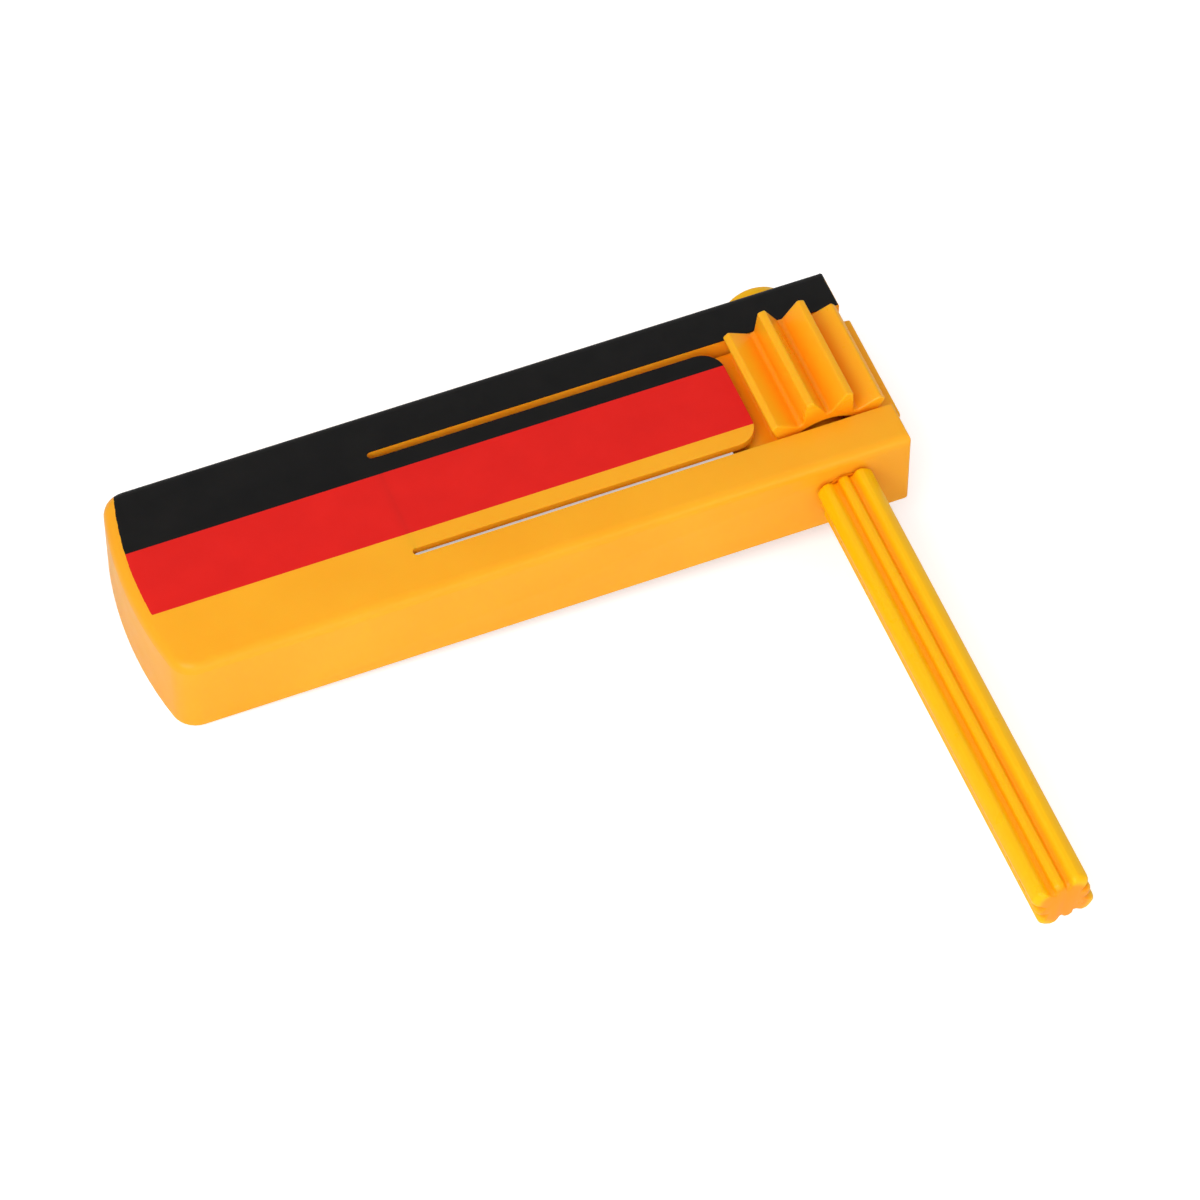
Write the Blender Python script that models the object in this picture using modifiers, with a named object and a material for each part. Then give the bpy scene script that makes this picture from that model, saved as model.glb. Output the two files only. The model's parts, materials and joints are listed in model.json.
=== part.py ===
"""Hand ratchet (cog rattle) in moulded plastic, one object for each sub-part.

Metres, +Z up. The body lies level along X with its wheel at the +X end,
and the handle points along -Y. The pieces are drawn about the axle's centre,
and one empty then sets the whole on the ground, centred on its footprint.
"""
import math

import bmesh
import bpy
from mathutils import Matrix, Vector

MM = 0.001

# Driving dimensions of the housing; X and Z are counted from the axle.
BODY_LENGTH = 165.0 * MM
BODY_WIDTH = 49.0 * MM
BODY_HEIGHT = 20.0 * MM
BODY_RIGHT = 14.7 * MM
WALL = 2.0 * MM
END_ARC_RADIUS = 90.0 * MM
CORNER_RADIUS = 5.5 * MM
TOP_FILLET = 2.2 * MM
END_FILLET_SHARE = 0.35
ARM_WIDTH = 10.2 * MM
SLOT_WIDTH = 1.8 * MM
BOSS_RADIUS = 7.3 * MM

# The tongue, a strip of the top plate that the slots set free.
TONGUE_ROOT = -91.4 * MM
TONGUE_TIP = -14.3 * MM
TONGUE_THICKNESS = 1.9 * MM
TONGUE_TIP_RADIUS = 5.0 * MM

# The toothed wheel.
TEETH = 12
CREST_RADIUS = 17.5 * MM
VALLEY_RADIUS = 12.4 * MM
CREST_HALF_WIDTH = 0.8 * MM
VALLEY_HALF_WIDTH = 0.5 * MM
WHEEL_WIDTH = 27.0 * MM
RECESS_RADIUS = 10.7 * MM
RECESS_DEPTH = 9.0 * MM
HUB_RADIUS = 6.4 * MM
TOOTH_EDGE = 0.35 * MM
ROTOR_TURN = math.radians(12.6)

# The stepped axle, the fluted handle and the end cap.
NEAR_JOURNAL = 5.0 * MM
FAR_JOURNAL = 3.5 * MM
JOURNAL_EASE = 0.02 * MM
DRIVE_SQUARE = 7.0 * MM
GRIP_SQUARE = 6.4 * MM
GRIP_SQUARE_LENGTH = 25.0 * MM
GAP = 0.3 * MM
HANDLE_START = -25.1 * MM
HANDLE_END = -136.0 * MM
LOBE_RADIUS = 7.6 * MM
GROOVE_RADIUS = 5.7 * MM
RIDGE_RADIUS = 6.4 * MM
HANDLE_END_ROUND = 0.8 * MM
CAP_RADIUS = 7.4 * MM
CAP_START = 24.9 * MM
CAP_HEIGHT = 3.4 * MM
CAP_SOCKET = 2.9 * MM

BODY_LEFT = BODY_RIGHT - BODY_LENGTH
BODY_TOP = BODY_HEIGHT / 2
BODY_HALF = BODY_WIDTH / 2
WINDOW_HALF = BODY_HALF - ARM_WIDTH
TONGUE_HALF = WINDOW_HALF - SLOT_WIDTH
RIB_FACE = TONGUE_ROOT - WALL
PAST = 5.0 * MM

YELLOW = (1.0, 0.47, 0.02, 1.0)
GRIP_YELLOW = (1.0, 0.55, 0.01, 1.0)


def clear_scene():
    for item in list(bpy.data.objects):
        bpy.data.objects.remove(item, do_unlink=True)


def new_collection(name):
    made = bpy.data.collections.new(name)
    bpy.context.scene.collection.children.link(made)
    return made


def plastic(name, colour, roughness):
    made = bpy.data.materials.new(name)
    made.use_nodes = True
    shader = made.node_tree.nodes["Principled BSDF"]
    shader.inputs["Base Color"].default_value = colour
    shader.inputs["Roughness"].default_value = roughness
    shader.inputs["Metallic"].default_value = 0.0
    made.diffuse_color = colour
    return made


def arc(cx, cy, radius, start, end, steps):
    """Points on an arc, angles in degrees."""
    found = []
    for i in range(steps + 1):
        a = math.radians(start + (end - start) * i / steps)
        found.append((cx + radius * math.cos(a), cy + radius * math.sin(a)))
    return found


def mesh_object(name, mesh, group):
    made = bpy.data.objects.new(name, mesh)
    group.objects.link(made)
    return made


def plate(name, outline, thickness, group, turn=None):
    """A flat outline with thickness, centred on its plane."""
    curve = bpy.data.curves.new(name, "CURVE")
    curve.dimensions = "2D"
    curve.fill_mode = "BOTH"
    curve.extrude = thickness / 2
    spline = curve.splines.new("POLY")
    spline.points.add(len(outline) - 1)
    for point, (x, y) in zip(spline.points, outline):
        point.co = (x, y, 0.0, 1.0)
    spline.use_cyclic_u = True
    drawn = bpy.data.objects.new(name + "_outline", curve)
    bpy.context.scene.collection.objects.link(drawn)
    bpy.context.view_layer.update()
    seen = drawn.evaluated_get(bpy.context.evaluated_depsgraph_get())
    mesh = bpy.data.meshes.new_from_object(seen)
    bpy.data.objects.remove(drawn, do_unlink=True)
    mesh.name = name
    shape = bmesh.new()
    shape.from_mesh(mesh)
    bmesh.ops.remove_doubles(shape, verts=shape.verts, dist=1e-6)
    flat = math.radians(0.5)
    bmesh.ops.dissolve_limit(shape, angle_limit=flat, verts=shape.verts, edges=shape.edges)
    bmesh.ops.recalc_face_normals(shape, faces=shape.faces)
    shape.to_mesh(mesh)
    shape.free()
    if turn is not None:
        mesh.transform(turn)
    return mesh_object(name, mesh, group)


def block(name, low, high, group):
    """A box from its lowest to its highest corner."""
    size = Vector(high) - Vector(low)
    middle = (Vector(high) + Vector(low)) / 2
    shape = bmesh.new()
    bmesh.ops.create_cube(shape, size=1.0)
    bmesh.ops.scale(shape, vec=size, verts=shape.verts)
    bmesh.ops.translate(shape, vec=middle, verts=shape.verts)
    mesh = bpy.data.meshes.new(name)
    shape.to_mesh(mesh)
    shape.free()
    return mesh_object(name, mesh, group)


def rod(name, radius, y_low, y_high, group, sides=40):
    """A cylinder along Y on the axle's line."""
    shape = bmesh.new()
    depth = y_high - y_low
    bmesh.ops.create_cone(
        shape, cap_ends=True, segments=sides, radius1=radius, radius2=radius, depth=depth
    )
    mesh = bpy.data.meshes.new(name)
    shape.to_mesh(mesh)
    shape.free()
    mesh.transform(Matrix.Rotation(math.pi / 2, 4, "X"))
    mesh.transform(Matrix.Translation((0.0, (y_low + y_high) / 2, 0.0)))
    return mesh_object(name, mesh, group)


def turned(name, profile, group, closed, sides=40):
    """A profile in X and Z swept round Z, then laid so that its Z is +Y."""
    mesh = bpy.data.meshes.new(name)
    edges = [(i, i + 1) for i in range(len(profile) - 1)]
    if closed:
        edges.append((len(profile) - 1, 0))
    mesh.from_pydata([(r, 0.0, z) for r, z in profile], edges, [])
    made = mesh_object(name, mesh, group)
    made.rotation_euler = (-math.pi / 2, 0.0, 0.0)
    screw = made.modifiers.new("Screw", "SCREW")
    screw.steps = sides
    screw.render_steps = sides
    screw.use_merge_vertices = True
    screw.merge_threshold = 1e-5
    return made


def boolean(target, tool, operation):
    step = target.modifiers.new(operation.title(), "BOOLEAN")
    step.operation = operation
    step.solver = "EXACT"
    step.object = tool


def hide_cutters(group):
    for item in group.objects:
        item.hide_render = True
        item.display_type = "WIRE"


def smooth(item, degrees):
    item.data.shade_smooth()
    item.data.set_sharp_from_angle(angle=math.radians(degrees))


def housing_outline(inset, right):
    """Plan of the housing: straight sides, a bowed left end with round corners."""
    half = BODY_HALF - inset
    apex = BODY_LEFT + inset
    radius = END_ARC_RADIUS - inset
    corner = CORNER_RADIUS - inset
    centre_x = apex + radius
    corner_y = half - corner
    corner_x = centre_x - math.sqrt((radius - corner) ** 2 - corner_y**2)
    lean = math.degrees(math.asin(corner_y / (radius - corner)))
    points = [(right, -half)]
    points += [(right, half)]
    points += arc(corner_x, corner_y, corner, 90, 180 - lean, 7)
    points += arc(centre_x, 0.0, radius, 180 - lean, 180 + lean, 12)[1:-1]
    points += arc(corner_x, -corner_y, corner, 180 + lean, 270, 7)
    return points


def window_outline():
    """Opening for tongue, slots and wheel, with the slots' round ends."""
    middle = TONGUE_HALF + SLOT_WIDTH / 2
    far = arc(TONGUE_ROOT, middle, SLOT_WIDTH / 2, 90, 270, 8)
    near = arc(TONGUE_ROOT, -middle, SLOT_WIDTH / 2, 90, 270, 8)
    right = BODY_RIGHT + PAST
    return [(right, WINDOW_HALF)] + far + near + [(right, -WINDOW_HALF)]


def weight_top_edges(item):
    """Full fillet on the top rim, a small one on the square right end."""
    shape = bmesh.new()
    shape.from_mesh(item.data)
    layer = shape.edges.layers.float.new("bevel_weight_edge")
    for edge in shape.edges:
        low = min(v.co.z for v in edge.verts)
        left = min(v.co.x for v in edge.verts)
        on_end = left > BODY_RIGHT - 1e-5
        sideways = abs(edge.verts[0].co.y - edge.verts[1].co.y)
        if low > BODY_TOP - 1e-5 and len(edge.link_faces) == 2:
            normals = [abs(f.normal.z) for f in edge.link_faces]
            if max(normals) - min(normals) > 0.5:
                edge[layer] = END_FILLET_SHARE if on_end and sideways > BODY_HALF else 1.0
        elif on_end and sideways < 1e-5 and low < 0:
            edge[layer] = END_FILLET_SHARE
    shape.to_mesh(item.data)
    shape.free()


def make_housing(parts, cutters):
    """One moulding: top plate, skirt, two box arms and their bearing bosses."""
    outline = housing_outline(0.0, BODY_RIGHT)
    housing = plate("housing", outline, BODY_HEIGHT, parts)
    weight_top_edges(housing)
    fillet = housing.modifiers.new("Fillet", "BEVEL")
    fillet.limit_method = "WEIGHT"
    fillet.width = TOP_FILLET
    fillet.segments = 4

    under = -BODY_TOP - PAST
    ceiling = BODY_TOP - WALL
    chamber = plate("chamber_cut", housing_outline(WALL, RIB_FACE - WALL), ceiling - under, cutters)
    chamber.location.z = (ceiling + under) / 2
    window = plate("window_cut", window_outline(), BODY_HEIGHT + 2 * PAST, cutters)
    bay = block(
        "bay_cut",
        (RIB_FACE, -WINDOW_HALF, under),
        (TONGUE_ROOT + PAST, WINDOW_HALF, ceiling),
        cutters,
    )
    hollows = [chamber, window, bay]
    inner = WINDOW_HALF + WALL
    outer = BODY_HALF - WALL
    for name, low, high in (("near", -outer, -inner), ("far", inner, outer)):
        hollows.append(
            block(
                name + "_arm_cut",
                (RIB_FACE, low, under),
                (BODY_RIGHT - WALL, high, ceiling),
                cutters,
            )
        )
    for tool in hollows:
        boolean(housing, tool, "DIFFERENCE")
    sides = (("near", -1, NEAR_JOURNAL + GAP), ("far", 1, FAR_JOURNAL + GAP))
    for name, side, _ in sides:
        ends = sorted((side * (inner - WALL / 2), side * (outer + WALL / 2)))
        boss = rod(name + "_boss", BOSS_RADIUS, ends[0], ends[1], cutters)
        boolean(housing, boss, "UNION")
    for name, side, bore in sides:
        ends = sorted((side * (WINDOW_HALF - PAST), side * (BODY_HALF + PAST)))
        cut = rod(name + "_bore_cut", bore, ends[0], ends[1], cutters)
        boolean(housing, cut, "DIFFERENCE")
    smooth(housing, 35)
    return housing


def make_tongue(parts, pivot):
    """The springy strip, with its origin on the line where it bends."""
    start = TONGUE_ROOT + GAP
    corner = TONGUE_TIP_RADIUS
    side = TONGUE_HALF - corner
    outline = [(start, -TONGUE_HALF)]
    outline += arc(TONGUE_TIP - corner, -side, corner, -90, 0, 8)
    outline += arc(TONGUE_TIP - corner, side, corner, 0, 90, 8)
    outline += [(start, TONGUE_HALF)]
    tongue = plate("tongue", outline, TONGUE_THICKNESS, parts)
    tongue.data.transform(Matrix.Translation((-TONGUE_ROOT, 0.0, 0.0)))
    tongue.parent = pivot
    smooth(tongue, 35)
    return tongue


def wheel_outline():
    """Symmetric teeth with narrow flat crests and valleys, in X and Z."""
    points = []
    crest = math.asin(CREST_HALF_WIDTH / CREST_RADIUS)
    valley = math.asin(VALLEY_HALF_WIDTH / VALLEY_RADIUS)
    pitch = 2 * math.pi / TEETH
    for k in range(TEETH):
        for turn, radius in (
            (-crest, CREST_RADIUS),
            (crest, CREST_RADIUS),
            (pitch / 2 - valley, VALLEY_RADIUS),
            (pitch / 2 + valley, VALLEY_RADIUS),
        ):
            a = k * pitch + turn
            points.append((radius * math.cos(a), radius * math.sin(a)))
    return points


def make_wheel(parts, cutters, rotor):
    """Toothed wheel, cored at both ends round a hub with a square bore."""
    stand = Matrix.Rotation(math.pi / 2, 4, "X")
    wheel = plate("ratchet_wheel", wheel_outline(), WHEEL_WIDTH, parts, stand)
    edges = wheel.modifiers.new("Edges", "BEVEL")
    edges.limit_method = "ANGLE"
    edges.angle_limit = math.radians(30)
    edges.width = TOOTH_EDGE
    edges.segments = 2
    face = WHEEL_WIDTH / 2
    for name, side in (("near", -1), ("far", 1)):
        low, high = sorted((side * (face - RECESS_DEPTH), side * (face + PAST)))
        ring = [(RECESS_RADIUS, high), (RECESS_RADIUS, low), (HUB_RADIUS, low), (HUB_RADIUS, high)]
        core = turned(name + "_recess_cut", ring, cutters, True)
        core.parent = rotor
        boolean(wheel, core, "DIFFERENCE")
    half = DRIVE_SQUARE / 2 + GAP
    bore = block("wheel_bore_cut", (-half, -face - PAST, -half), (half, face + PAST, half), cutters)
    bore.parent = rotor
    boolean(wheel, bore, "DIFFERENCE")
    wheel.parent = rotor
    smooth(wheel, 40)
    return wheel


def handle_outline():
    """Four broad lobes with a small ridge between each two."""
    quarter = (
        (0, RIDGE_RADIUS),
        (9, RIDGE_RADIUS - 0.15 * MM),
        (14, GROOVE_RADIUS + 0.1 * MM),
        (18, GROOVE_RADIUS),
        (23, GROOVE_RADIUS + 0.5 * MM),
        (29, LOBE_RADIUS - 0.35 * MM),
        (35, LOBE_RADIUS),
        (45, LOBE_RADIUS),
    )
    mirrored = [(90 - a, r) for a, r in reversed(quarter[1:-1])]
    points = []
    for turn in range(4):
        for a, r in list(quarter) + mirrored:
            angle = math.radians(a + 90 * turn)
            points.append((r * math.cos(angle), r * math.sin(angle)))
    return points


def make_handle(parts, cutters, rotor):
    """Fluted grip with a square socket for the axle."""
    stand = Matrix.Rotation(math.pi / 2, 4, "X")
    length = HANDLE_START - HANDLE_END
    handle = plate("handle", handle_outline(), length, parts, stand)
    handle.data.transform(Matrix.Translation((0.0, (HANDLE_START + HANDLE_END) / 2, 0.0)))
    ends = handle.modifiers.new("Ends", "BEVEL")
    ends.limit_method = "ANGLE"
    ends.angle_limit = math.radians(75)
    ends.width = HANDLE_END_ROUND
    ends.segments = 3
    half = GRIP_SQUARE / 2 + GAP
    bottom = HANDLE_START - GRIP_SQUARE_LENGTH - GAP
    mouth = HANDLE_START + PAST
    socket = block("handle_socket_cut", (-half, bottom, -half), (half, mouth, half), cutters)
    socket.parent = rotor
    boolean(handle, socket, "DIFFERENCE")
    handle.parent = rotor
    smooth(handle, 50)
    return handle


def make_axle(parts, cutters, rotor):
    """Stepped axle: grip square, near journal, drive square, far journal."""
    lap = 0.5 * MM
    shoulder = WHEEL_WIDTH / 2 + GAP
    start = HANDLE_START + GAP
    axle = rod("axle", NEAR_JOURNAL, start, -shoulder, parts)
    grip = GRIP_SQUARE / 2
    drive = DRIVE_SQUARE / 2
    cap_end = CAP_START + CAP_SOCKET - GAP
    grip_end = HANDLE_START - GRIP_SQUARE_LENGTH
    wheel_end = WHEEL_WIDTH / 2
    journal = FAR_JOURNAL - JOURNAL_EASE
    steps = (
        block("axle_grip_square", (-grip, grip_end, -grip), (grip, start + lap, grip), cutters),
        block(
            "axle_drive_square",
            (-drive, -shoulder - lap, -drive),
            (drive, wheel_end, drive),
            cutters,
        ),
        rod("axle_far_journal", journal, wheel_end - lap, cap_end, cutters),
    )
    for step in steps:
        step.parent = rotor
        boolean(axle, step, "UNION")
    axle.parent = rotor
    smooth(axle, 35)
    return axle


def make_cap(parts, rotor):
    """Round cap on the axle's far end, with a blind socket."""
    socket = FAR_JOURNAL + GAP
    profile = (
        (0.0, CAP_HEIGHT),
        (0.60 * CAP_RADIUS, CAP_HEIGHT - 0.05 * MM),
        (0.84 * CAP_RADIUS, CAP_HEIGHT - 0.45 * MM),
        (0.96 * CAP_RADIUS, CAP_HEIGHT - 1.2 * MM),
        (CAP_RADIUS, CAP_HEIGHT - 2.2 * MM),
        (CAP_RADIUS, 0.0),
        (socket, 0.0),
        (socket, CAP_SOCKET),
        (0.0, CAP_SOCKET),
    )
    cap = turned("end_cap", profile, parts, False)
    cap.location = (0.0, CAP_START, 0.0)
    cap.parent = rotor
    return cap


def stand_on_origin(frame, parts):
    """Moves the frame so that the origin is under the middle of the footprint."""
    bpy.context.view_layer.update()
    graph = bpy.context.evaluated_depsgraph_get()
    corners = []
    for item in parts.objects:
        seen = item.evaluated_get(graph)
        corners += [seen.matrix_world @ v.co for v in seen.to_mesh().vertices]
        seen.to_mesh_clear()
    low = [min(c[i] for c in corners) for i in range(3)]
    high = [max(c[i] for c in corners) for i in range(3)]
    frame.location = (-(low[0] + high[0]) / 2, -(low[1] + high[1]) / 2, -low[2])


def main():
    clear_scene()
    parts = new_collection("ratchet")
    cutters = new_collection("cutters")
    frame = bpy.data.objects.new("frame", None)
    rotor = bpy.data.objects.new("rotor", None)
    pivot = bpy.data.objects.new("tongue_bend", None)
    for empty in (frame, rotor, pivot):
        bpy.context.scene.collection.objects.link(empty)
    rotor.rotation_euler = (0.0, -ROTOR_TURN, 0.0)
    pivot.location = (TONGUE_ROOT, 0.0, BODY_TOP - TONGUE_THICKNESS / 2)
    housing = make_housing(parts, cutters)
    tongue = make_tongue(parts, pivot)
    wheel = make_wheel(parts, cutters, rotor)
    handle = make_handle(parts, cutters, rotor)
    axle = make_axle(parts, cutters, rotor)
    cap = make_cap(parts, rotor)
    hide_cutters(cutters)
    for item in (rotor, pivot, housing):
        item.parent = frame
    for item in cutters.objects:
        if item.parent is None:
            item.parent = frame
    body_plastic = plastic("yellow_plastic", YELLOW, 0.38)
    for item in (housing, tongue, wheel, axle):
        item.data.materials.append(body_plastic.copy())
    grip_plastic = plastic("grip_plastic", GRIP_YELLOW, 0.32)
    for item in (handle, cap):
        item.data.materials.append(grip_plastic.copy())
    stand_on_origin(frame, parts)


main()
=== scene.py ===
"""Looks of the hand ratchet: plastic skins, printed stripes, floor, light and camera."""
import json
import math

import bmesh
import bpy
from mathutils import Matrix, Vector


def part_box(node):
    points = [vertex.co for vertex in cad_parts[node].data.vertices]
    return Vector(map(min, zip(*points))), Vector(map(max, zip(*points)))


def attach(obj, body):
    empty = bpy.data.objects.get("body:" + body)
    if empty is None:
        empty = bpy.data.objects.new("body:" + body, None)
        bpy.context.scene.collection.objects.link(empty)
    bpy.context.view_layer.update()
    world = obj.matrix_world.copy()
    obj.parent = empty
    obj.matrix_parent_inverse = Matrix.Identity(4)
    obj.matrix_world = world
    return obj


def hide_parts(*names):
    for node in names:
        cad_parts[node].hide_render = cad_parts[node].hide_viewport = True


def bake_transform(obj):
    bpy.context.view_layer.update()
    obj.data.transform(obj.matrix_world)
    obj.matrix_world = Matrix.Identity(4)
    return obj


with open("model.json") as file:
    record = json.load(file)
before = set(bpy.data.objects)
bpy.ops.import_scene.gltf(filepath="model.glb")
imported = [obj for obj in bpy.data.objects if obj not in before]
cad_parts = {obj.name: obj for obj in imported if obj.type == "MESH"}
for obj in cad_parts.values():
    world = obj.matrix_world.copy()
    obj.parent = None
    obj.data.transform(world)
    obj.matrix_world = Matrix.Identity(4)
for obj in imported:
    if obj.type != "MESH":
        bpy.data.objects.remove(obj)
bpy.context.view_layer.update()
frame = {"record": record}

MM = 0.001
TINY = 1e-6

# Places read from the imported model.
HOUSING_LOW, HOUSING_HIGH = (Vector(corner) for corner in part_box("housing"))
TONGUE_LOW, TONGUE_HIGH = (Vector(corner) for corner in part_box("tongue"))
HANDLE_LOW, HANDLE_HIGH = (Vector(corner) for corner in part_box("handle"))
JOINTS = {joint["name"]: joint for joint in frame["record"]["behaviour"]["joints"]}
AXLE = Vector(JOINTS["wheel_turn"]["pos_m"])
TOP = HOUSING_HIGH.z
MIDDLE_Y = (HOUSING_LOW.y + HOUSING_HIGH.y) / 2

# The printed stripes, counted from the body's middle line.
BLACK_FROM = 8.1 * MM
RED_FROM = -8.5 * MM
PRINT_DEPTH = 0.25 * MM
PRINT_INSET = 2.5 * MM
PRINT_FUZZ = 0.4 * MM
FILLET = 2.2 * MM
FILLET_WIDTH_PRINTED = 1.1 * FILLET
FILLET_HEIGHT_PRINTED = 0.85 * FILLET
END_ARC_RADIUS = 90.0 * MM

# Rounded edges of the housing, and where an edge counts as which.
FULL_EDGE = 1.0
TOP_EDGE = 0.35
BODY_EDGE_WIDTH = 0.9 * MM
BODY_EDGE_STEPS = 3
FLAT_ANGLE = math.radians(0.5)
EDGE_ANGLE = math.radians(60)
ROOT_REACH = 1.5 * MM
ROOT_DEPTH = 3.0 * MM
WINDOW_MARGIN = 4.0 * MM
TOP_SLACK = 0.1 * MM
END_SLACK = 1.0 * MM
UPRIGHT_RISE = 5.0 * MM

# The tongue, whose skin closes the gap at its root.
ROOT_GAP = 0.3 * MM
TONGUE_TIP_RADIUS = 5.0 * MM
TONGUE_ROWS = 36
TIP_STEP = 9
TONGUE_EDGE_WIDTH = 0.25 * MM
TONGUE_EDGE_STEPS = 2
RIM_TURN = 0.5

# The grip's section: angle in degrees and radius, one eighth of the round.
ROTOR_TURN = math.radians(12.6)
GRIP_EIGHTH = (
    (0, 6.15 * MM),
    (7, 6.0 * MM),
    (17, 5.15 * MM),
    (23, 5.4 * MM),
    (31, 7.2 * MM),
    (36, 7.55 * MM),
    (45, 7.6 * MM),
)
GRIP_SIDES = 180
GRIP_NEAR_ROUND = 0.8 * MM
GRIP_FAR_ROUND = 1.5 * MM
GRIP_ROUND_STEP = 15
GRIP_RINGS = (0.25, 0.5, 0.75)

# Degrees between two faces from which their edge is drawn sharp.
SHARP_FROM = {
    "housing_skin": 32,
    "tongue_skin": 32,
    "fluted_grip": 50,
    "ratchet_wheel": 50,
    "axle": 40,
    "end_cap": 60,
}

# The camera, from the photograph's vanishing lines.
CAMERA_PLACE = (-0.28331, -0.70710, 1.09520)
CAMERA_PITCH = math.radians(53.94)
CAMERA_YAW = math.radians(21.80)
CAMERA_LENS = 193.86
CAMERA_REACH = 20.0
SENSOR = 36.0

WHITE = (1.0, 1.0, 1.0, 1.0)
FLOOR_WHITE = (0.9, 0.9, 0.9, 1.0)
YELLOW = (1.0, 0.430, 0.016, 1.0)
YELLOW_DEEP = (0.97, 0.395, 0.012, 1.0)
WHEEL_YELLOW = (1.0, 0.445, 0.010, 1.0)
# Painted shade at the bottom of the wheel's teeth.
WHEEL_PAINTED_SHADE = (1.0, 0.300, 0.003, 1.0)
GRIP_YELLOW = (1.0, 0.520, 0.002, 1.0)
# Painted shade at the bottom of the grip's flutes.
GRIP_PAINTED_SHADE = (1.0, 0.320, 0.001, 1.0)
RED = (0.78, 0.010, 0.006, 1.0)
RED_DEEP = (0.735, 0.008, 0.005, 1.0)
BLACK = (0.0012, 0.0010, 0.0009, 1.0)
BLACK_PALE = (0.0042, 0.0034, 0.0030, 1.0)
CLOUD_SHADE = 0.97

# Radii from the axle between which the rotor's colour pales: painted shade at the bottom of teeth
# and flutes, fading to the full colour outwards.
WHEEL_SHADE_FADE = (11.5 * MM, 17.0 * MM)
GRIP_SHADE_FADE = (4.9 * MM, 6.6 * MM)

# How moulded plastic shines and lets light through.
SPECULAR = 0.20
GLOW = 0.30
GLOW_DEPTH = 2.5 * MM
GLOW_COLOUR_REACH = (1.0, 0.30, 0.04)

# Scale and detail of each noise, and the span of its values that is used.
CLOUD = (45.0, 3.0)
PATCH = (120.0, 5.0)
SHEEN = (160.0, 4.0)
INK_SHEEN = (260.0, 4.0)
FUZZ = (700.0, 2.0)
GRAIN = (900.0, 2.0)
NOISE_SPAN = (0.3, 0.7)
NOISE_MIDDLE = 0.5
WHOLE = (0.0, 1.0)

# Roughness from the smoothest to the roughest spots.
ROTOR_ROUGH = (0.26, 0.36)
BODY_ROUGH = (0.28, 0.36)
INK_ROUGH = (0.42, 0.56)

# Strength and height of the bumps, and the grain's share beside the ink's edge.
ROTOR_BUMP = (0.10, 0.04 * MM)
PRINT_BUMP = (0.25, 0.03 * MM)
GRAIN_SHARE = 0.4

# The studio: place, size and power of each lamp, and the pale surroundings.
LAMPS = {
    "key": ((-0.55, -0.45, 0.95), 0.7, 6.5),
    "fill": ((-0.1, -0.9, 0.35), 0.8, 2.5),
}
WORLD_STRENGTH = 0.60
FLOOR_SIZE = 6.0
FLOOR_DROP = 0.4 * MM
FLOOR_ROUGH = 0.8
FLOOR_GLOW = 0.45


class Tree:
    """Short calls for a material's nodes."""

    def __init__(self, name):
        self.material = bpy.data.materials.new(name)
        self.material.use_nodes = True
        self.nodes = self.material.node_tree.nodes
        self.links = self.material.node_tree.links
        self.shader = self.nodes["Principled BSDF"]

    def add(self, kind, **settings):
        node = self.nodes.new(kind)
        for key, value in settings.items():
            setattr(node, key, value)
        return node

    def feed(self, sockets, values):
        """Sets or links each socket, depending on what its value is."""
        for socket, value in zip(sockets, values):
            if isinstance(value, (int, float, tuple)):
                socket.default_value = value
            else:
                self.links.new(value, socket)

    def math(self, operation, *values):
        node = self.add("ShaderNodeMath", operation=operation)
        self.feed(node.inputs, values)
        return node.outputs[0]

    def distance(self, one, two):
        """Length of a way in the plane, from its two legs."""
        squares = [self.math("POWER", self.math("ABSOLUTE", leg), 2.0) for leg in (one, two)]
        return self.math("SQRT", self.math("ADD", *squares))

    def noise(self, place, scale, detail):
        node = self.add("ShaderNodeTexNoise")
        node.inputs["Scale"].default_value = scale
        node.inputs["Detail"].default_value = detail
        self.links.new(place, node.inputs["Vector"])
        return node.outputs["Fac"]

    def remap(self, value, span, ends, interpolation="LINEAR"):
        node = self.add("ShaderNodeMapRange", interpolation_type=interpolation)
        names = ("From Min", "From Max", "To Min", "To Max")
        self.feed([node.inputs[name] for name in names], (*span, *ends))
        self.links.new(value, node.inputs["Value"])
        return node.outputs["Result"]

    def spread(self, value, ends):
        return self.remap(value, NOISE_SPAN, ends)

    def mix(self, factor, first, second):
        node = self.add("ShaderNodeMix", data_type="RGBA")
        self.feed((node.inputs[0], node.inputs[6], node.inputs[7]), (factor, first, second))
        return node.outputs[2]

    def mix_numbers(self, factor, first, second):
        node = self.add("ShaderNodeMix", data_type="FLOAT")
        self.feed((node.inputs[0], node.inputs[2], node.inputs[3]), (factor, first, second))
        return node.outputs[0]

    def split(self, place):
        node = self.add("ShaderNodeSeparateXYZ")
        self.links.new(place, node.inputs[0])
        return node.outputs

    def finish(self, colour, rough, height, bump):
        """Links colour, roughness and bump to the shader."""
        self.links.new(colour, self.shader.inputs["Base Color"])
        self.links.new(rough, self.shader.inputs["Roughness"])
        node = self.add("ShaderNodeBump")
        node.inputs["Strength"].default_value, node.inputs["Distance"].default_value = bump
        self.links.new(height, node.inputs["Height"])
        self.links.new(node.outputs["Normal"], self.shader.inputs["Normal"])
        return self.material


def moulded(tree, pale, deep):
    """Cloudy colour of moulded plastic that lets a little light through."""
    place = tree.add("ShaderNodeTexCoord").outputs["Object"]
    colour = tree.mix(tree.spread(tree.noise(place, *CLOUD), WHOLE), pale, deep)
    tree.shader.inputs["Specular IOR Level"].default_value = SPECULAR
    tree.shader.inputs["Subsurface Weight"].default_value = GLOW
    tree.shader.inputs["Subsurface Radius"].default_value = GLOW_COLOUR_REACH
    tree.shader.inputs["Subsurface Scale"].default_value = GLOW_DEPTH
    return place, colour


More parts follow.
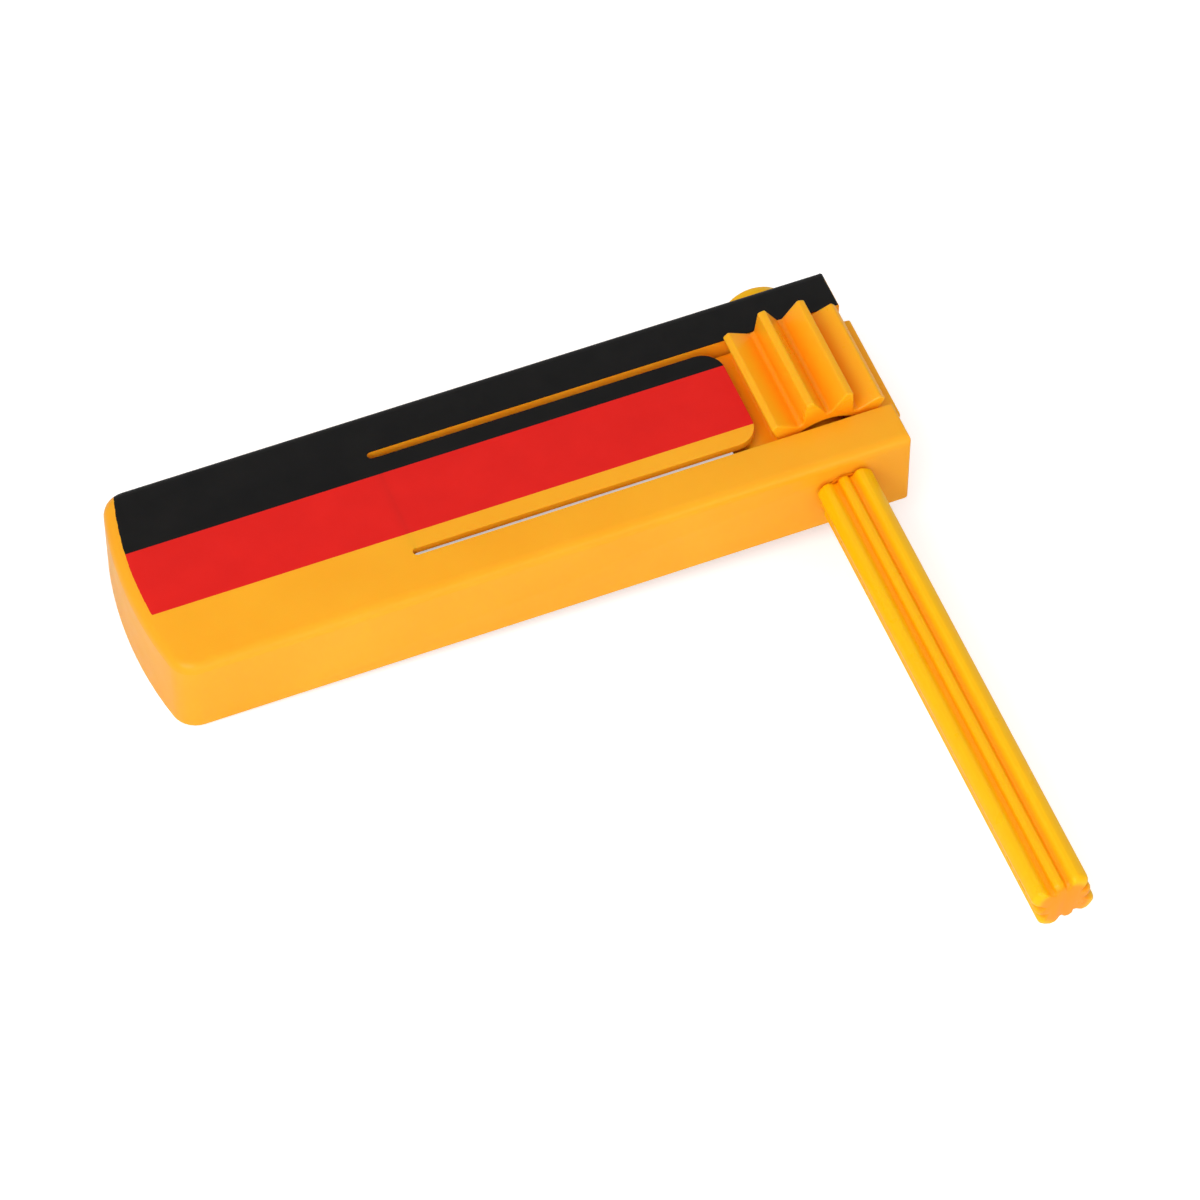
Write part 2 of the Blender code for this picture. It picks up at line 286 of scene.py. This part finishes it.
def rotor_plastic(name, pale, deep, shade_fade):
    """Plastic with painted shade: its colour deepens towards the bottom of teeth or flutes."""
    tree = Tree(name)
    shaded = tuple(CLOUD_SHADE * value for value in pale[:3]) + (1.0,)
    place, colour = moulded(tree, pale, shaded)
    x, _, z = tree.split(place)
    radius = tree.distance(tree.math("SUBTRACT", x, AXLE.x), tree.math("SUBTRACT", z, AXLE.z))
    # Painted shade: the colour darkens towards the axle, in the valleys of teeth and flutes.
    colour = tree.mix(tree.remap(radius, shade_fade, WHOLE, "SMOOTHSTEP"), deep, colour)
    rough = tree.spread(tree.noise(place, *SHEEN), ROTOR_ROUGH)
    return tree.finish(colour, rough, tree.noise(place, *GRAIN), ROTOR_BUMP)


def printed_places(tree, place):
    """Masks of red with black, and of black alone, on the printed top face."""
    x, y, z = tree.split(place)
    flat = tree.math("GREATER_THAN", z, TOP - PRINT_DEPTH)
    far = tree.math("GREATER_THAN", y, HOUSING_HIGH.y - FILLET_WIDTH_PRINTED)
    high = tree.math("GREATER_THAN", z, TOP - FILLET_HEIGHT_PRINTED)
    face = tree.math("MAXIMUM", flat, tree.math("MULTIPLY", far, high))
    uneven = tree.math("SUBTRACT", tree.noise(place, *FUZZ), NOISE_MIDDLE)
    across = tree.math("SUBTRACT", x, HOUSING_LOW.x + END_ARC_RADIUS)
    along = tree.math("SUBTRACT", y, MIDDLE_Y)
    reach = tree.distance(across, along)
    reach = tree.math("ADD", reach, tree.math("MULTIPLY", uneven, PRINT_FUZZ))
    bow = tree.math("LESS_THAN", reach, END_ARC_RADIUS - PRINT_INSET)
    right = tree.math("GREATER_THAN", across, 0.0)
    inside = tree.math("MULTIPLY", face, tree.math("MAXIMUM", bow, right))
    return [
        tree.math("MULTIPLY", inside, tree.math("GREATER_THAN", along, start))
        for start in (RED_FROM, BLACK_FROM)
    ]


def printed_plastic(name):
    """Yellow plastic with the ink stripes on the top face."""
    tree = Tree(name)
    place, colour = moulded(tree, YELLOW, YELLOW_DEEP)
    inked, is_black = printed_places(tree, place)
    patches = tree.spread(tree.noise(place, *PATCH), WHOLE)
    colour = tree.mix(inked, colour, tree.mix(patches, RED, RED_DEEP))
    colour = tree.mix(is_black, colour, tree.mix(patches, BLACK, BLACK_PALE))
    plastic_rough = tree.spread(tree.noise(place, *SHEEN), BODY_ROUGH)
    ink_rough = tree.spread(tree.noise(place, *INK_SHEEN), INK_ROUGH)
    rough = tree.mix_numbers(inked, plastic_rough, ink_rough)
    grain = tree.math("MULTIPLY", tree.noise(place, *GRAIN), GRAIN_SHARE)
    return tree.finish(colour, rough, tree.math("ADD", grain, inked), PRINT_BUMP)


def shade(name, mesh):
    """Smooth shading with edges that stay sharp."""
    mesh.shade_smooth()
    mesh.set_sharp_from_angle(angle=math.radians(SHARP_FROM[name]))


def finish_mesh(name, shape, material):
    bmesh.ops.recalc_face_normals(shape, faces=shape.faces)
    mesh = bpy.data.meshes.new(name)
    shape.to_mesh(mesh)
    shape.free()
    shade(name, mesh)
    mesh.materials.append(material)
    piece = bpy.data.objects.new(name, mesh)
    bpy.context.scene.collection.objects.link(piece)
    return piece


def softened(piece, width, steps):
    edges = piece.modifiers.new("Edges", "BEVEL")
    edges.limit_method = "WEIGHT"
    edges.width = width
    edges.segments = steps


def housing_edge(edge):
    """How much an edge of the housing is rounded, from none to full."""
    if len(edge.link_faces) != 2 or edge.calc_face_angle(0.0) < EDGE_ANGLE:
        return 0.0
    middle = (edge.verts[0].co + edge.verts[1].co) / 2
    at_root = abs(middle.x - TONGUE_LOW.x) < ROOT_REACH and middle.z > TOP - ROOT_DEPTH
    in_window = TONGUE_LOW.y - WINDOW_MARGIN < middle.y < TONGUE_HIGH.y + WINDOW_MARGIN
    on_top = middle.z > TOP - TOP_SLACK
    on_end = middle.x > HOUSING_HIGH.x - END_SLACK
    upright = abs(edge.verts[0].co.z - edge.verts[1].co.z) > UPRIGHT_RISE
    if on_end and upright and not in_window:
        return FULL_EDGE
    if (on_top and not at_root) or (on_end and not in_window):
        return TOP_EDGE
    return 0.0


def housing_skin(material):
    """The moulding with its mould-rounded edges, sharp only where the tongue joins."""
    shape = bmesh.new()
    shape.from_mesh(bpy.data.objects["housing"].data)
    bmesh.ops.remove_doubles(shape, verts=shape.verts, dist=TINY)
    bmesh.ops.dissolve_limit(shape, angle_limit=FLAT_ANGLE, verts=shape.verts, edges=shape.edges)
    weight = shape.edges.layers.float.new("bevel_weight_edge")
    for edge in shape.edges:
        edge[weight] = housing_edge(edge)
    piece = finish_mesh("housing_skin", shape, material)
    softened(piece, BODY_EDGE_WIDTH, BODY_EDGE_STEPS)
    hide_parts("housing")
    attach(piece, "body")


def tongue_stations(root, tip):
    """Places along the tongue, closer together in its rounded tip."""
    bow_start = tip - TONGUE_TIP_RADIUS
    places = [root + (bow_start - root) * i / TONGUE_ROWS for i in range(TONGUE_ROWS + 1)]
    for angle in range(TIP_STEP, 90, TIP_STEP):
        places.append(bow_start + TONGUE_TIP_RADIUS * math.sin(math.radians(angle)))
    places.append(tip)
    return places


def tongue_skin(material):
    """The tongue, joined flush to the top plate; the real tongue bends from its root."""
    root = TONGUE_LOW.x - ROOT_GAP
    tip = TONGUE_HIGH.x
    middle = (TONGUE_LOW.y + TONGUE_HIGH.y) / 2
    half = (TONGUE_HIGH.y - TONGUE_LOW.y) / 2
    corner = TONGUE_TIP_RADIUS
    shape = bmesh.new()
    rows = []
    for x in tongue_stations(root, tip):
        over = max(0.0, x - (tip - corner))
        width = half - corner + math.sqrt(max(0.0, corner**2 - over**2))
        row = []
        for z in (TOP, TONGUE_LOW.z):
            row.append([shape.verts.new((x, middle + side * width, z)) for side in (-1, 1)])
        rows.append(row)
    for one, two in zip(rows, rows[1:]):
        shape.faces.new((one[0][0], two[0][0], two[0][1], one[0][1]))
        shape.faces.new((one[1][1], two[1][1], two[1][0], one[1][0]))
        for side in (0, 1):
            shape.faces.new((one[0][side], one[1][side], two[1][side], two[0][side]))
    for row in (rows[0], rows[-1]):
        shape.faces.new((row[0][0], row[0][1], row[1][1], row[1][0]))
    for face in shape.faces:
        face.normal_update()
    weight = shape.edges.layers.float.new("bevel_weight_edge")
    for edge in shape.edges:
        level = abs(edge.verts[0].co.z - edge.verts[1].co.z) < TINY
        turns = [abs(face.normal.z) for face in edge.link_faces]
        at_root = max(vert.co.x for vert in edge.verts) < root + TINY
        if level and not at_root and max(turns) - min(turns) > RIM_TURN:
            edge[weight] = FULL_EDGE
    piece = finish_mesh("tongue_skin", shape, material)
    softened(piece, TONGUE_EDGE_WIDTH, TONGUE_EDGE_STEPS)
    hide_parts("tongue")
    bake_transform(piece)


def grip_radius(degrees):
    """Smooth radius of the fluted section, the same in all four quarters."""
    part = degrees % 90
    if part > 45:
        part = 90 - part
    for (a0, r0), (a1, r1) in zip(GRIP_EIGHTH, GRIP_EIGHTH[1:]):
        if part <= a1:
            share = (1 - math.cos(math.pi * (part - a0) / (a1 - a0))) / 2
            return r0 + (r1 - r0) * share
    return GRIP_EIGHTH[-1][1]


def grip_stations():
    """Places along the grip, and how far its section is drawn in there."""
    start, end = HANDLE_HIGH.y, HANDLE_LOW.y
    angles = [math.radians(angle) for angle in range(0, 91, GRIP_ROUND_STEP)]
    bend = [(1 - math.cos(angle), 1 - math.sin(angle)) for angle in angles]
    near = [(start - GRIP_NEAR_ROUND * along, GRIP_NEAR_ROUND * inward) for along, inward in bend]
    middle = [(start + (end - start) * share, 0.0) for share in GRIP_RINGS]
    far = [(end + GRIP_FAR_ROUND * along, GRIP_FAR_ROUND * inward) for inward, along in bend]
    return near + middle + far


def grip_skin(material):
    """Fluted grip with softly rounded lobe ends."""
    shape = bmesh.new()
    rings = []
    for y, inset in grip_stations():
        ring = []
        for i in range(GRIP_SIDES):
            degrees = 360 * i / GRIP_SIDES
            radius = grip_radius(degrees) - inset
            angle = math.radians(degrees) + ROTOR_TURN
            x = AXLE.x + radius * math.cos(angle)
            z = AXLE.z + radius * math.sin(angle)
            ring.append(shape.verts.new((x, y, z)))
        rings.append(ring)
    for one, two in zip(rings, rings[1:]):
        for i in range(GRIP_SIDES):
            j = (i + 1) % GRIP_SIDES
            shape.faces.new((one[i], one[j], two[j], two[i]))
    shape.faces.new(rings[0])
    shape.faces.new(rings[-1])
    piece = finish_mesh("fluted_grip", shape, material)
    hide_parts("handle")
    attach(piece, "rotor")


def dress_cad(name, material):
    """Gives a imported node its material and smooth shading."""
    node = bpy.data.objects[name]
    for slot in node.material_slots:
        slot.material = material
    shade(name, node.data)


def add_floor():
    """Pale floor through the wheel's lowest teeth and the body's left edge."""
    slope = math.atan2(HOUSING_LOW.z, AXLE.x - HOUSING_LOW.x)
    place = (AXLE.x, AXLE.y, -FLOOR_DROP)
    bpy.ops.mesh.primitive_plane_add(size=FLOOR_SIZE, location=place)
    floor = bpy.context.object
    floor.name = "floor"
    floor.rotation_euler = (0.0, slope, 0.0)
    tree = Tree("floor")
    tree.shader.inputs["Base Color"].default_value = FLOOR_WHITE
    tree.shader.inputs["Roughness"].default_value = FLOOR_ROUGH
    seen = tree.add("ShaderNodeLightPath").outputs["Is Camera Ray"]
    glow = tree.add("ShaderNodeEmission")
    tree.links.new(tree.math("MULTIPLY", seen, FLOOR_GLOW), glow.inputs["Strength"])
    both = tree.add("ShaderNodeAddShader")
    tree.links.new(tree.shader.outputs[0], both.inputs[0])
    tree.links.new(glow.outputs[0], both.inputs[1])
    tree.links.new(both.outputs[0], tree.nodes["Material Output"].inputs["Surface"])
    floor.data.materials.append(tree.material)


def add_world():
    world = bpy.data.worlds.new("studio")
    world.use_nodes = True
    background = world.node_tree.nodes["Background"]
    background.inputs["Color"].default_value = WHITE
    background.inputs["Strength"].default_value = WORLD_STRENGTH
    bpy.context.scene.world = world


def add_lamps():
    """Square lamps that face the axle."""
    for name, (place, size, power) in LAMPS.items():
        light = bpy.data.lights.new(name, "AREA")
        light.size = size
        light.energy = power
        lamp = bpy.data.objects.new(name, light)
        lamp.location = place
        lamp.rotation_euler = (AXLE - Vector(place)).to_track_quat("-Z", "Y").to_euler()
        bpy.context.scene.collection.objects.link(lamp)


def add_camera():
    data = bpy.data.cameras.new("photo_camera")
    data.lens = CAMERA_LENS
    data.sensor_width = SENSOR
    data.clip_end = CAMERA_REACH
    item = bpy.data.objects.new("photo_camera", data)
    item.location = CAMERA_PLACE
    item.rotation_euler = (math.pi / 2 - CAMERA_PITCH, 0.0, -CAMERA_YAW)
    bpy.context.scene.collection.objects.link(item)
    bpy.context.scene.camera = item


add_camera()
body_finish = printed_plastic("printed_body_plastic")
wheel_finish = rotor_plastic("wheel_plastic", WHEEL_YELLOW, WHEEL_PAINTED_SHADE, WHEEL_SHADE_FADE)
grip_finish = rotor_plastic("grip_plastic", GRIP_YELLOW, GRIP_PAINTED_SHADE, GRIP_SHADE_FADE)
housing_skin(body_finish)
tongue_skin(body_finish)
grip_skin(grip_finish)
dress_cad("ratchet_wheel", wheel_finish)
dress_cad("axle", wheel_finish)
dress_cad("end_cap", grip_finish)
add_floor()
add_world()
add_lamps()
bpy.context.scene.view_settings.view_transform = "Standard"
